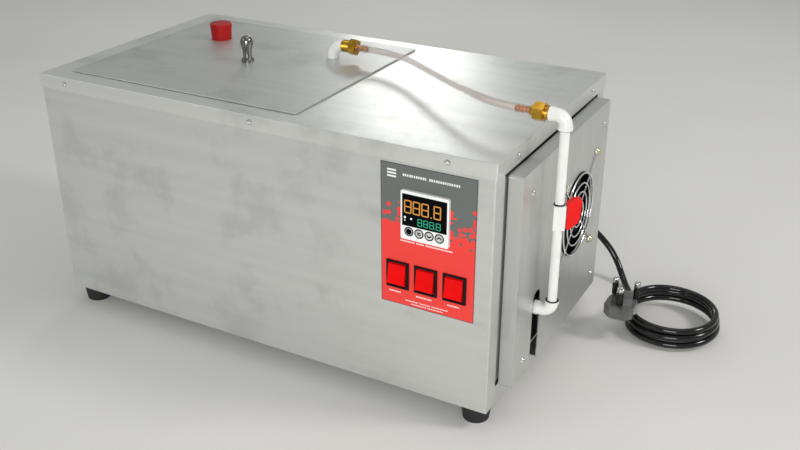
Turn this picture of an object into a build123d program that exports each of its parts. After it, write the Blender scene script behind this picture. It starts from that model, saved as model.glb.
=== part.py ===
from build123d import *
import math
import os

# Circulating water bath: a stainless cabinet with a lidded tank, a pump loop with an outside
# riser, a side fan, a front control panel and a mains cord.
# X runs along the front to the right, Y to the back, Z up. Sizes are in millimetres, measured
# from the cabinet's lower front left corner; save() moves every piece to the part's origin,
# which is the middle of the base, at the level that the feet stand on.

os.makedirs("parts", exist_ok=True)

# ---- driving dimensions ----
CAB_W = 550.0
CAB_D = 300.0
CAB_H = 267.0
SHEET = 1.2
FLANGE_H = 15.6
FOOT_H = 20.0
FOOT_INSET = 20.0
FLOOR = -FOOT_H

LID_X = (28.0, 325.0)
LID_Y = (21.5, 276.5)
LID_GAP = 0.5
LID_T = 1.5
LID_TOP = CAB_H + LID_GAP + LID_T
TANK_X = (43.5, 309.5)
TANK_Y = (35.0, 263.0)
TANK_DEPTH = 165.0
TANK_T = 1.0
TANK_RIM = 9.0
INSULATION = 15.0
HEATER_Z = 112.0
HEATER_Y = (120.0, 180.0)
HEATER_R = 4.0
PROBE_Y = 225.0
PROBE_Z = 118.0
SHELF_Z = 128.0

KNOB_AT = (180.0, 141.0)
STOPPER_AT = (95.8, 202.7)
STOPPER_R = 11.8
STOPPER_TOP_R = 13.25
STOPPER_UP = 19.2
STOPPER_DOWN = 13.5
LID_PORT = (256.8, 200.8)
LID_PORT_Z = 284.5

HEX_AF = 16.0
PIPE_R = 4.75
PIPE_BORE = 3.25
ELBOW_R = 6.5
ELBOW_BEND = 10.5
LID_ELBOW_R = 6.9
LID_ELBOW_BEND = 13.4
LID_ELBOW_END = 270.6
BARB_R = 2.95
HOSE_R = 4.0
HOSE_BORE = 3.0

RISER = (581.0, 80.5)
RISER_LOW_Z = 86.0
RISER_TOP_Z = 291.5
TOP_ELBOW_Z = 278.5
TOP_ELBOW_X = 565.5
TOP_ELBOW_BEND = 9.0
HOSE_END_X = 546.8
VALVE_Z = (178.0, 203.0)
VALVE_SIDE = 12.0
VALVE_TURN = 28.5
BALL_R = 4.3
STEM_R = 1.8
RUNNING = 0.06

COVER_Y = (26.0, 274.0)
COVER_Z = (20.0, 247.0)
COVER_OUT = 15.0
SLOT_W = 21.4
SLOT_TOP = 105.5
OPENING_Y = (21.0, 279.0)
OPENING_Z = (20.5, 249.0)
COVER_SCREW_Y = (50.0, 256.0)
COVER_SCREW_Z = (40.0, 224.0)

FAN_AT = (185.5, 145.7)
FAN_SIDE = 120.0
FAN_DEPTH = 25.0
FAN_PITCH = 105.0
FAN_HOLE_R = 46.0
FAN_HUB_R = 20.0
GUARD_RINGS = (14.0, 24.5, 34.0, 45.0)
GUARD_WIRE = 0.95

LABEL_X = (432.0, 531.5)
LABEL_Z = (99.5, 248.0)
LABEL_T = 0.4
CONTROLLER_AT = (480.05, 199.25)
BEZEL_SIDE = 50.3
BEZEL_OUT = 4.0
CONTROLLER_SIDE = 45.0
CONTROLLER_DEPTH = 80.0
WINDOW_W = 46.7
WINDOW_Z = (188.6, 221.4)
KEY_R = 3.5
KEY_Z = 183.0
KEY_PITCH = 10.6
SWITCH_X = (450.3, 480.7, 511.2)
SWITCH_Z = 132.1
SWITCH_W = 24.4
SWITCH_H = 29.2
ROCKER_W = 18.4
ROCKER_R = 12.6
ROCKER_TILT = 10.0
ROCKER_PIVOT_Y = 4.5

PUMP_X = 430.0
PUMP_Y = (70.0, 92.0)
PUMP_Z = 64.0
PUMP_R = 30.0
MOTOR_R = 32.0
MOTOR_END = 185.0
SUCTION_AT = (290.0, 50.0)
SUCTION_R = 6.0

CORD_R = 3.9
GLAND_AT = (517.0, 58.0)
SLEEVE_END = 322.0
COIL_AT = (659.0, 283.0)
COIL_R = 49.4
COIL_H = 27.0
PLUG_X = 610.0
PLUG_Y = (220.5, 267.5)
PLUG_Z = (7.5, 23.5)
PLUG_W = 34.0
PIN_GAP = 25.0
PIN_LENGTH = 21.0

# The cord lies in the open air behind the cabinet, comes down to the floor and runs to the coil.
MAINS_ROUTE = [
    (517, 322, 58),
    (517.5, 338, 57.5),
    (522, 353, 53),
    (531, 364, 43.5),
    (543, 369, 31),
    (556, 370, 17.5),
    (567, 367, 3.5),
    (576, 359, -8),
    (585, 347, -14.5),
    (594, 333.5, -16.1),
    (602, 319, -16.1),
    (609.6, 305, -16.1),
]
# The clear hose runs from the lid's barb to the riser's barb, with a gentle S seen from above.
HOSE_ROUTE = [
    (289, 200.8, 284.5),
    (322, 200.8, 284.5),
    (358, 186, 286.5),
    (400, 154, 288.5),
    (440, 123, 290.5),
    (477, 97, 292.5),
    (513, 80.5, 291.5),
    (546.8, 80.5, 291.5),
]

# The origin is under the middle of everything but the mains cord and its plug.
ORIGIN_X = 299.6
ORIGIN_Y = 147.7
UP = (0, 0, 1)
RIGHT = (1, 0, 0)
BACK = (0, 1, 0)


# ---- shared helpers ----
def save(name, shape):
    moved = Pos(-ORIGIN_X, -ORIGIN_Y, FOOT_H) * shape
    export_step(moved, f"parts/{name}.step")


def block(x, y, z):
    size = (x[1] - x[0], y[1] - y[0], z[1] - z[0])
    middle = Vector((x[0] + x[1]) / 2, (y[0] + y[1]) / 2, (z[0] + z[1]) / 2)
    return Location(middle) * Box(*size)


def rod(radius, start, direction, length):
    base = Plane(origin=start, z_dir=direction)
    return base * Cylinder(radius, length, align=(Align.CENTER, Align.CENTER, Align.MIN))


def pipe(outer, bore, start, direction, length):
    return rod(outer, start, direction, length) - rod(bore, start, direction, length)


def cone(base_r, top_r, start, direction, length):
    base = Plane(origin=start, z_dir=direction)
    return base * Cone(base_r, top_r, length, align=(Align.CENTER, Align.CENTER, Align.MIN))


def hexagon(start, direction, length, bore=0.0):
    profile = Plane(origin=start, z_dir=direction) * RegularPolygon(HEX_AF / 2, 6, major_radius=False)
    solid = extrude(profile, amount=length)
    return solid - rod(bore, start, direction, length) if bore else solid


def swept(path, outer, bore=0.0):
    start = Plane(origin=path @ 0, z_dir=path % 0)
    solid = sweep(start * Circle(outer), path=path)
    return solid - sweep(start * Circle(bore), path=path) if bore else solid


def group(pieces):
    """Alike pieces that stand apart from each other, kept as separate solids of one node."""
    return Part() + list(pieces)


def dome_screw(at, direction, head_r, head_h, shank_r, shank_l):
    """A dome head standing on its seat, and its shank going the other way."""
    back = Vector(*direction) * -1
    head = cone(head_r, head_r * 0.62, at, direction, head_h)
    head = fillet(head.edges().group_by(Axis(at, direction))[-1], head_h * 0.4)
    slot = rod(head_r * 0.28, Vector(*at) + Vector(*direction) * head_h * 0.4, direction, head_h)
    return head - slot + rod(shank_r, at, back, shank_l)


def run_radii(route):
    """Each corner's radius: 0.45 of its shorter run over the tangent of half its turn."""
    points = [Vector(*p) for p in route]
    radii = []
    for before, here, after in zip(points, points[1:], points[2:]):
        first = here - before
        second = after - here
        half_turn = math.radians(first.get_angle(second)) / 2
        radii.append(0.45 * min(first.length, second.length) / math.tan(half_turn))
    return radii


def cord_tube(name, route, radius, bore=0.0):
    radii = run_radii(route)
    path = FilletPolyline(*route, radius=radii)
    solid = swept(path, radius, bore)
    area = math.pi * (radius**2 - bore**2)
    share = solid.volume / (area * path.length)
    print(name, "length", round(path.length, 1), "volume over section times length", round(share, 4))
    print(name, "radii", [round(r) for r in radii])
    return solid


# ---- cabinet ----
def cabinet_shell():
    outer = block((SHEET, CAB_W - SHEET), (SHEET, CAB_D - SHEET), (0, CAB_H - SHEET))
    outer = fillet(outer.edges().filter_by(Axis.Z).group_by(Axis.Y)[0], 1.4)
    inner = block((2 * SHEET, CAB_W - 2 * SHEET), (2 * SHEET, CAB_D), (-1, CAB_H))
    side = block((CAB_W - 10, CAB_W + 10), OPENING_Y, OPENING_Z)
    middle_x, middle_z = CONTROLLER_AT
    half = CONTROLLER_SIDE / 2
    cuts = block((middle_x - half, middle_x + half), (-5, 5), (middle_z - half, middle_z + half))
    for x in SWITCH_X:
        cuts += block((x - 10.8, x + 10.8), (-5, 5), (SWITCH_Z - 13.3, SWITCH_Z + 13.3))
    return outer - inner - side - cuts


def base_plate():
    plate = block((2 * SHEET, CAB_W - 2 * SHEET), (2 * SHEET, CAB_D - 2 * SHEET), (0, 1.5))
    for x, y in foot_places():
        plate -= rod(2.2, (x, y, -1), UP, 4)
    return plate


def back_panel():
    x_span = (2 * SHEET, CAB_W - 2 * SHEET)
    panel = block(x_span, (CAB_D - 2 * SHEET, CAB_D - SHEET), (1.5, CAB_H - SHEET))
    gland_hole = rod(6.0, (GLAND_AT[0], CAB_D - 10, GLAND_AT[1]), BACK, 20)
    for i in range(8):
        slot = block((360, 420), (CAB_D - 5, CAB_D + 1), (150 + 9 * i, 153.5 + 9 * i))
        panel -= slot
    return panel - gland_hole


def top_cover():
    cover = block((0, CAB_W), (0, CAB_D), (CAB_H - FLANGE_H, CAB_H))
    cover = fillet(cover.edges().filter_by(Axis.Z), 1.2)
    cover = fillet(cover.edges().group_by(Axis.Z)[-1], 1.0)
    cover -= block((SHEET, CAB_W - SHEET), (SHEET, CAB_D - SHEET), (0, CAB_H - SHEET))
    cover -= block(TANK_X, TANK_Y, (CAB_H - 5, CAB_H + 5))
    for at, direction in cover_screw_places():
        cover -= rod(1.9, Vector(*at) - Vector(*direction) * 3, direction, 6)
    return cover


def cover_screw_places():
    z = CAB_H - FLANGE_H / 2
    places = [((x, y, z), (0, side, 0)) for x in (37, 284, 501) for y, side in ((0, -1), (CAB_D, 1))]
    places += [((x, y, z), (side, 0, 0)) for y in (46, 150, 254) for x, side in ((0, -1), (CAB_W, 1))]
    return places


def top_cover_screws():
    return group(dome_screw(at, way, 3.4, 2.0, 1.8, 1.1) for at, way in cover_screw_places())


def foot_places():
    return [(x, y) for x in (FOOT_INSET, CAB_W - FOOT_INSET) for y in (FOOT_INSET, CAB_D - FOOT_INSET)]


def foot(x, y):
    body = cone(13.5, 16.0, (x, y, FLOOR), UP, FOOT_H)
    body -= rod(7.0, (x, y, FLOOR), UP, 12)
    return body - rod(2.2, (x, y, FLOOR), UP, FOOT_H)


def foot_screw(x, y):
    head = rod(4.2, (x, y, FLOOR + 9), UP, 3)
    return head + rod(2.1, (x, y, FLOOR + 12), UP, 16)


# ---- tank and what hangs in it ----
def tank_box(grow, bottom_grow, top):
    x = (TANK_X[0] - grow, TANK_X[1] + grow)
    y = (TANK_Y[0] - grow, TANK_Y[1] + grow)
    return block(x, y, (tank_floor() - bottom_grow, top))


def tank_floor():
    return CAB_H - SHEET - TANK_DEPTH


def bath_tank():
    top = CAB_H - SHEET
    tank = tank_box(TANK_T, TANK_T, top)
    rim = block((TANK_X[0] - TANK_RIM, TANK_X[1] + TANK_RIM),
                (TANK_Y[0] - TANK_RIM, TANK_Y[1] + TANK_RIM), (top - TANK_T, top))
    tank = tank + rim - tank_box(0, 0, top + 5)
    for y in HEATER_Y:
        tank -= rod(HEATER_R, (TANK_X[1] - 5, y, HEATER_Z), RIGHT, 10)
    tank -= rod(2.5, (TANK_X[1] - 5, PROBE_Y, PROBE_Z), RIGHT, 10)
    return tank - rod(SUCTION_R - 1.2, (*SUCTION_AT, tank_floor() - 5), UP, 10)


def tank_insulation():
    top = CAB_H - SHEET - TANK_T - 1
    jacket = tank_box(TANK_T + INSULATION, TANK_T + INSULATION, top)
    jacket -= tank_box(TANK_T, TANK_T, top + 5)
    jacket -= block((TANK_X[1], TANK_X[1] + 30), (100, 240), (HEATER_Z - 14, HEATER_Z + 18))
    return jacket - rod(SUCTION_R + 1, (*SUCTION_AT, 60), UP, 60)


def heater():
    outside = TANK_X[1] + TANK_T
    ends = [(outside + 6, HEATER_Y[0], HEATER_Z), (90, HEATER_Y[0], HEATER_Z),
            (90, HEATER_Y[1], HEATER_Z), (outside + 6, HEATER_Y[1], HEATER_Z)]
    element = swept(FilletPolyline(*ends, radius=26), HEATER_R)
    flange = block((outside, outside + 3), (105, 195), (HEATER_Z - 10, HEATER_Z + 10))
    for y in HEATER_Y:
        flange += rod(1.6, (outside + 6, y, HEATER_Z), RIGHT, 10)
    return element + flange


def temperature_probe():
    outside = TANK_X[1] + TANK_T
    nut = hexagon((outside, PROBE_Y, PROBE_Z), RIGHT, 7)
    return nut + rod(2.5, (250, PROBE_Y, PROBE_Z), RIGHT, outside - 250 + 14)


def bath_shelf():
    x = (TANK_X[0] + 2.5, TANK_X[1] - 2.5)
    y = (TANK_Y[0] + 2.5, TANK_Y[1] - 2.5)
    shelf = block(x, y, (SHELF_Z, SHELF_Z + 1))
    for side in (y[0], y[1] - 1):
        shelf += block(x, (side, side + 1), (tank_floor(), SHELF_Z + 0.5))
    holes = Sketch() + [Pos(70 + 30 * i, 59 + 30 * j) * Circle(6) for i in range(8) for j in range(7)]
    return shelf - extrude(Pos(0, 0, SHELF_Z - 2) * holes, amount=5)


# ---- pump loop inside the cabinet ----
def suction_pipe():
    x, y = SUCTION_AT
    route = [(x, y, tank_floor() - TANK_T), (x, y, PUMP_Z), (PUMP_X, y, PUMP_Z), (PUMP_X, PUMP_Y[0], PUMP_Z)]
    return swept(FilletPolyline(*route, radius=10), SUCTION_R, SUCTION_R - 1.2)


def pump_housing():
    front, rear = PUMP_Y
    body = rod(PUMP_R, (PUMP_X, front, PUMP_Z), BACK, rear - front)
    outlet_y = RISER[1]
    body += rod(7.5, (PUMP_X, outlet_y, RISER_LOW_Z), RIGHT, 45)
    body += rod(9, (PUMP_X, front - 8, PUMP_Z), BACK, 8)
    body -= rod(SUCTION_R, (PUMP_X, front - 8, PUMP_Z), BACK, 12)
    body -= rod(PUMP_R - 3, (PUMP_X, front + 3, PUMP_Z), BACK, rear - front - 6)
    body -= rod(3.2, (PUMP_X, outlet_y, RISER_LOW_Z), RIGHT, 50)
    body -= rod(PIPE_R, (PUMP_X + 35, outlet_y, RISER_LOW_Z), RIGHT, 15)
    return body - rod(3 + RUNNING, (PUMP_X, rear - 5, PUMP_Z), BACK, 10)


def pump_motor():
    rear = PUMP_Y[1]
    body = rod(MOTOR_R, (PUMP_X, rear, PUMP_Z), BACK, MOTOR_END - rear)
    body = fillet(body.edges().group_by(Axis.Y)[-1], 5)
    body += block((PUMP_X - 18, PUMP_X + 18), (rear + 25, rear + 65), (PUMP_Z + 25, PUMP_Z + 44))
    return body - rod(3 + RUNNING, (PUMP_X, rear, PUMP_Z), BACK, 60.5)


def pump_impeller():
    front, rear = PUMP_Y
    disc = rod(24, (PUMP_X, front + 13, PUMP_Z), BACK, 2.5)
    disc += rod(6, (PUMP_X, front + 6, PUMP_Z), BACK, 9)
    disc += rod(3, (PUMP_X, front + 13, PUMP_Z), BACK, rear + 60 - front - 13)
    for i in range(6):
        vane = Pos(14.5, 0, 0) * Rot(0, 0, 24) * Box(18, 1.6, 6)
        turned = Plane(origin=(PUMP_X, front + 10.2, PUMP_Z), z_dir=BACK) * Rot(0, 0, 60 * i) * vane
        disc += turned
    return disc


def pump_bracket():
    foot_sheet = block((385, 475), (105, 170), (1.5, 4))
    for y in (108, 160):
        web = block((PUMP_X - 28, PUMP_X + 28), (y, y + 4), (4, 52))
        foot_sheet += web - rod(MOTOR_R, (PUMP_X, y - 1, PUMP_Z), BACK, 6)
    return foot_sheet


def delivery_pipe():
    start = PUMP_X + 35
    return pipe(PIPE_R, PIPE_BORE, (start, RISER[1], RISER_LOW_Z), RIGHT, 563 - start)


# ---- side cover and fan ----
def side_cover():
    outside = CAB_W + COVER_OUT
    tray = block((CAB_W, outside), COVER_Y, COVER_Z)
    tray = fillet(tray.edges().filter_by(Axis.X), 2.5)
    inner_y = (COVER_Y[0] + SHEET, COVER_Y[1] - SHEET)
    inner_z = (COVER_Z[0] + SHEET, COVER_Z[1] - SHEET)
    tray -= block((CAB_W - 1, outside - SHEET), inner_y, inner_z)
    pipe_y = RISER[1]
    round_z = SLOT_TOP - SLOT_W / 2
    tray -= block((CAB_W - 1, outside + 1), (pipe_y - SLOT_W / 2, pipe_y + SLOT_W / 2), (0, round_z))
    tray -= rod(SLOT_W / 2, (CAB_W - 1, pipe_y, round_z), RIGHT, 20)
    tray -= rod(FAN_HOLE_R, (CAB_W, *FAN_AT), RIGHT, 20)
    for y, z in fan_corners():
        tray -= rod(2.2, (CAB_W, y, z), RIGHT, 20)
    for y, z in cover_corners():
        tray -= rod(2.2, (CAB_W, y, z), RIGHT, 20)
    return tray


def cover_corners():
    return [(y, z) for y in COVER_SCREW_Y for z in COVER_SCREW_Z]


def fan_corners():
    half = FAN_PITCH / 2
    return [(FAN_AT[0] + a * half, FAN_AT[1] + b * half) for a in (-1, 1) for b in (-1, 1)]


def cover_rails():
    rail_z = (25, 244)
    inside = CAB_W - 2 * SHEET
    rails = [block((inside - 1.5, inside), (6, 62), rail_z), block((inside - 1.5, inside), (249, 294), rail_z)]
    holes = [rod(2.2, (inside - 5, y, z), RIGHT, 10) for y, z in cover_corners()]
    return group(rail - holes for rail in rails)


def cover_spacers():
    inside = CAB_W - 2 * SHEET
    length = CAB_W + COVER_OUT - SHEET - inside
    return group(pipe(4.5, 2.2, (inside, y, z), RIGHT, length) for y, z in cover_corners())


def side_cover_screws():
    outside = CAB_W + COVER_OUT
    return group(dome_screw((outside, y, z), RIGHT, 3.4, 2.2, 2.0, 21) for y, z in cover_corners())


def fan_frame():
    face = CAB_W + COVER_OUT - SHEET
    y, z = FAN_AT
    half = FAN_SIDE / 2
    frame = block((face - FAN_DEPTH, face), (y - half, y + half), (z - half, z + half))
    frame = fillet(frame.edges().filter_by(Axis.X), 4)
    frame -= rod(57, (face - FAN_DEPTH, y, z), RIGHT, FAN_DEPTH)
    for hole_y, hole_z in fan_corners():
        frame -= rod(2.2, (face - FAN_DEPTH, hole_y, hole_z), RIGHT, FAN_DEPTH)
    back = face - FAN_DEPTH
    for i in range(4):
        strut = Pos(39, 0, 2) * Box(40, 5, 4)
        frame += Plane(origin=(back, y, z), z_dir=RIGHT) * Rot(0, 0, 45 + 90 * i) * strut
    frame += rod(FAN_HUB_R, (back, y, z), RIGHT, 4)
    return frame - rod(2 + RUNNING, (back, y, z), RIGHT, 4)


def fan_rotor():
    back = CAB_W + COVER_OUT - SHEET - FAN_DEPTH
    y, z = FAN_AT
    hub = rod(FAN_HUB_R, (back + 5, y, z), RIGHT, 17)
    hub = fillet(hub.edges().group_by(Axis.X)[-1], 2)
    rotor = hub + rod(2, (back + 0.5, y, z), RIGHT, 8)
    for i in range(7):
        blade = Pos(36.5, 0, 0) * Rot(38, 0, 0) * Box(35, 22, 1.6)
        rotor += Plane(origin=(back + 13.5, y, z), z_dir=RIGHT) * Rot(0, 0, 360 / 7 * i) * blade
    return rotor


def fan_guard():
    face = CAB_W + COVER_OUT
    y, z = FAN_AT
    legs_x = face + GUARD_WIRE
    rings_x = legs_x + 2 * GUARD_WIRE - 0.4
    rings = Plane(origin=(rings_x, y, z), z_dir=RIGHT)
    guard = None
    for radius in GUARD_RINGS:
        ring = rings * Torus(radius, GUARD_WIRE)
        guard = ring if guard is None else guard + ring
    reach = FAN_PITCH / math.sqrt(2)
    inner = GUARD_RINGS[0]
    legs = Plane(origin=(legs_x, y, z), z_dir=RIGHT)
    for i in range(4):
        turn = Rot(0, 0, 45 + 90 * i)
        leg = rod(GUARD_WIRE, (inner - 0.5, 0, 0), RIGHT, reach - 3.6 - inner + 0.7)
        guard += legs * turn * leg
        guard += legs * turn * Pos(reach, 0, 0) * Torus(3.6, GUARD_WIRE)
    return guard


def fan_screws():
    seat = CAB_W + COVER_OUT + 2 * GUARD_WIRE
    return group(dome_screw((seat, y, z), RIGHT, 4.0, 2.4, 1.9, 20) for y, z in fan_corners())


# ---- riser outside the right side ----
def elbow(start, corner, end, bend):
    return swept(FilletPolyline(start, corner, end, radius=bend), ELBOW_R, PIPE_R)


def riser_elbow_lower():
    x, y = RISER
    body = elbow((563, y, RISER_LOW_Z), (x, y, RISER_LOW_Z), (x, y, 98.5), ELBOW_BEND)
    body += pipe(7.2, PIPE_R, (563, y, RISER_LOW_Z), RIGHT, 4)
    return body + pipe(7.2, PIPE_R, (x, y, 96.5), UP, 2)


def riser_elbow_upper():
    x, y = RISER
    low, left = TOP_ELBOW_Z, TOP_ELBOW_X
    body = elbow((x, y, low), (x, y, RISER_TOP_Z), (left, y, RISER_TOP_Z), TOP_ELBOW_BEND)
    body += pipe(7.2, PIPE_R, (x, y, low), UP, 3.8)
    return body + pipe(7.1, PIPE_R, (left, y, RISER_TOP_Z), RIGHT, 4)


def riser_pipe_lower():
    return pipe(PIPE_R, PIPE_BORE, (*RISER, 96.5), UP, VALVE_Z[0] - 96.5)


def riser_pipe_upper():
    return pipe(PIPE_R, PIPE_BORE, (*RISER, VALVE_Z[1]), UP, TOP_ELBOW_Z + 3.5 - VALVE_Z[1])


def riser_fitting():
    y = RISER[1]
    left = (-1, 0, 0)
    body = rod(6.4, (TOP_ELBOW_X, y, RISER_TOP_Z), left, 4.5)
    body += hexagon((TOP_ELBOW_X - 4.5, y, RISER_TOP_Z), left, 10.5)
    body += rod(4.8, (TOP_ELBOW_X - 15, y, RISER_TOP_Z), left, TOP_ELBOW_X - 15 - HOSE_END_X)
    body += rod(PIPE_R, (TOP_ELBOW_X + 4.9, y, RISER_TOP_Z), left, 6)
    body += rod(BARB_R, (HOSE_END_X, y, RISER_TOP_Z), left, 15)
    return body - rod(1.8, (572, y, RISER_TOP_Z), left, 45)


def valve_frame():
    """The valve's own frame: its X axis is the stem's, its origin the ball's centre."""
    middle = (VALVE_Z[0] + VALVE_Z[1]) / 2
    return Location((*RISER, middle), (0, 0, VALVE_TURN))


def valve_body():
    body = Box(VALVE_SIDE, VALVE_SIDE, VALVE_Z[1] - VALVE_Z[0])
    body = fillet(body.edges().filter_by(Axis.Z), 0.8)
    body -= Sphere(BALL_R + 0.3)
    body -= Cylinder(PIPE_BORE - 0.6, 40)
    return valve_frame() * (body - rod(STEM_R + RUNNING, (0, 0, 0), RIGHT, 20))


def valve_ball():
    ball = Sphere(BALL_R) - Cylinder(PIPE_BORE - 0.6, 20)
    return valve_frame() * (ball + rod(STEM_R, (3.5, 0, 0), RIGHT, 9))


def valve_handle():
    outline = [(7, -10.7), (7, 13.9), (12.8, 19), (20.8, 18.4), (19.7, -0.2), (18.3, -5), (9.1, -13.1)]
    face = Plane.XZ * make_face(Polyline(*outline, close=True))
    handle = extrude(face, amount=4, both=True)
    handle = fillet(handle.edges().filter_by(Axis.Y), 1.4)
    handle -= rod(STEM_R, (0, 0, 0), RIGHT, 12.5)
    return valve_frame() * handle


# ---- lid ----
def lid_panel():
    low = CAB_H + LID_GAP
    panel = block(LID_X, LID_Y, (low, LID_TOP))
    panel = fillet(panel.edges().filter_by(Axis.Z), 3)
    panel = fillet(panel.edges().group_by(Axis.Z)[-1], 0.6)
    inset = 1.5
    outer_x = (TANK_X[0] + inset, TANK_X[1] - inset)
    outer_y = (TANK_Y[0] + inset, TANK_Y[1] - inset)
    skirt = block(outer_x, outer_y, (low - 8, low))
    skirt -= block((outer_x[0] + 1, outer_x[1] - 1), (outer_y[0] + 1, outer_y[1] - 1), (low - 9, low))
    panel += skirt
    for x in (LID_X[0] + 7, LID_X[1] - 7):
        for y in (LID_Y[0] + 7, LID_Y[1] - 7):
            panel += rod(3, (x, y, CAB_H), UP, LID_GAP + 0.2)
    panel -= rod(STOPPER_R + 0.3, (*STOPPER_AT, low - 1), UP, 4)
    panel -= rod(LID_ELBOW_R, (*LID_PORT, low - 1), UP, 4)
    return panel - rod(2.5, (*KNOB_AT, low - 1), UP, 4)


def lid_knob():
    side = Spline((5.05, 8), (7.2, 22.4), (0, 29.6), tangents=[(0, 1), (-1, 0)])
    lower = Polyline((0, 29.6), (0, -4), (2.5, -4), (2.5, 0), (7.1, 0), (7.1, 3), (5.05, 4.5), (5.05, 8))
    profile = Plane.XZ * make_face([side, lower])
    return Pos(*KNOB_AT, LID_TOP) * revolve(profile, Axis.Z)


def lid_elbow():
    x, y = LID_PORT
    route = [(x, y, 261), (x, y, LID_PORT_Z), (LID_ELBOW_END, y, LID_PORT_Z)]
    return swept(FilletPolyline(*route, radius=LID_ELBOW_BEND), LID_ELBOW_R, 4.0)


def lid_fitting():
    y = LID_PORT[1]
    body = rod(6.3, (LID_ELBOW_END, y, LID_PORT_Z), RIGHT, 10.4)
    body += hexagon((281, y, LID_PORT_Z), RIGHT, 8)
    body += rod(BARB_R, (289, y, LID_PORT_Z), RIGHT, 14)
    return body - rod(1.8, (260, y, LID_PORT_Z), RIGHT, 50)


def lid_stopper():
    low = LID_TOP - STOPPER_DOWN
    slope = (STOPPER_TOP_R - STOPPER_R) / STOPPER_UP
    body = cone(STOPPER_R - slope * STOPPER_DOWN, STOPPER_TOP_R, (*STOPPER_AT, low), UP, STOPPER_DOWN + STOPPER_UP)
    return fillet(body.edges().filter_by(GeomType.CIRCLE), 1.2)


# ---- control panel ----
def control_label():
    label = block(LABEL_X, (SHEET - LABEL_T, SHEET), LABEL_Z)
    middle_x, middle_z = CONTROLLER_AT
    half = CONTROLLER_SIDE / 2
    label -= block((middle_x - half, middle_x + half), (-1, 3), (middle_z - half, middle_z + half))
    for x in SWITCH_X:
        label -= block((x - 10.8, x + 10.8), (-1, 3), (SWITCH_Z - 13.3, SWITCH_Z + 13.3))
    return label


def controller_housing():
    x, z = CONTROLLER_AT
    half = CONTROLLER_SIDE / 2
    front = SHEET - LABEL_T
    case = block((x - half, x + half), (front, CONTROLLER_DEPTH), (z - half, z + half))
    return case - block((x - half + 1.5, x + half - 1.5), (front - 1, CONTROLLER_DEPTH - 1.5),
                        (z - half + 1.5, z + half - 1.5))


def bezel_front():
    return SHEET - LABEL_T - BEZEL_OUT + 0.4


def key_places():
    return [CONTROLLER_AT[0] + KEY_PITCH * (i - 1.5) for i in range(4)]


def controller_bezel():
    x, z = CONTROLLER_AT
    half = BEZEL_SIDE / 2
    front = bezel_front()
    back = SHEET - LABEL_T
    bezel = block((x - half, x + half), (front, back), (z - half, z + half))
    bezel = fillet(bezel.edges().filter_by(Axis.Y), 1.8)
    bezel = fillet(bezel.faces().sort_by(Axis.Y)[0].edges(), 0.7)
    bezel -= block((x - WINDOW_W / 2, x + WINDOW_W / 2), (front - 1, front + 1.2), WINDOW_Z)
    for key_x in key_places():
        bezel -= rod(KEY_R + 0.3, (key_x, front - 1, KEY_Z), BACK, 20)
    return bezel


def controller_display():
    x = CONTROLLER_AT[0]
    front = bezel_front()
    return block((x - WINDOW_W / 2, x + WINDOW_W / 2), (front + 0.2, front + 1.2), WINDOW_Z)


def controller_key(x):
    front = bezel_front()
    key = rod(KEY_R, (x, front - 0.3, KEY_Z), BACK, 5)
    return fillet(key.edges().group_by(Axis.Y)[0], 0.5)


def switch_housing(x):
    face = SHEET - LABEL_T
    bezel = block((x - SWITCH_W / 2, x + SWITCH_W / 2), (face - 2, face),
                  (SWITCH_Z - SWITCH_H / 2, SWITCH_Z + SWITCH_H / 2))
    bezel = fillet(bezel.faces().sort_by(Axis.Y)[0].edges(), 0.8)
    bezel += block((x - 10.8, x + 10.8), (face, 24), (SWITCH_Z - 13.3, SWITCH_Z + 13.3))
    for blade in (-6, 0, 6):
        bezel += block((x - 2.4, x + 2.4), (24, 32), (SWITCH_Z + blade - 0.4, SWITCH_Z + blade + 0.4))
    well = ROCKER_R + 0.3
    half_w = ROCKER_W / 2 + 0.3
    bezel -= block((x - half_w, x + half_w), (-5, ROCKER_PIVOT_Y), (SWITCH_Z - well, SWITCH_Z + well))
    bezel -= rod(well, (x - half_w, ROCKER_PIVOT_Y, SWITCH_Z), RIGHT, 2 * half_w)
    for side in (-1, 1):
        pivot = (x + side * (half_w - 0.5), ROCKER_PIVOT_Y, SWITCH_Z)
        bezel -= rod(1.5 + RUNNING, pivot, (side, 0, 0), 1.6)
    return bezel


def rocker(x):
    half = ROCKER_W / 2
    body = rod(ROCKER_R, (x - half, 0, 0), RIGHT, ROCKER_W)
    outline = [(3, -20), (3, 20), (-8.6, 20), (-7.4, 0), (-8.6, -20)]
    shape = Plane.YZ * make_face(Polyline(*outline, close=True))
    body &= Pos(x, 0, 0) * extrude(shape, amount=half, both=True)
    for side in (-1, 1):
        body += rod(1.5, (x + side * (half - 1), 0, 0), (side, 0, 0), 2)
    return Location((0, ROCKER_PIVOT_Y, SWITCH_Z)) * Rot(-ROCKER_TILT, 0, 0) * body


# ---- electrical parts on the base ----
def relay():
    sink = block((370, 430), (215, 265), (1.5, 6))
    for i in range(7):
        sink += block((372 + 9 * i, 374 + 9 * i), (215, 265), (6, 30))
    return sink + block((378, 423), (218, 262), (30, 54))


def terminal_block():
    base = block((455, 505), (245, 265), (1.5, 14))
    for i in range(4):
        post = block((457 + 12 * i, 467 + 12 * i), (247, 263), (14, 22))
        base += post - rod(2.2, (462 + 12 * i, 255, 12), UP, 12)
    return base


# ---- mains cord, coil and plug ----
def cable_gland():
    x, z = GLAND_AT
    inside = rod(9, (x, CAB_D - 2 * SHEET - 3, z), BACK, 3)
    body = inside + rod(6.0, (x, CAB_D - 2 * SHEET - 1, z), BACK, 8)
    body += hexagon((x, CAB_D - SHEET, z), BACK, 6)
    body += cone(6.8, 5.0, (x, CAB_D + 4, z), BACK, SLEEVE_END - CAB_D - 4)
    return body


def mains_cord():
    return cord_tube("mains_cord", MAINS_ROUTE, CORD_R)


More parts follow.
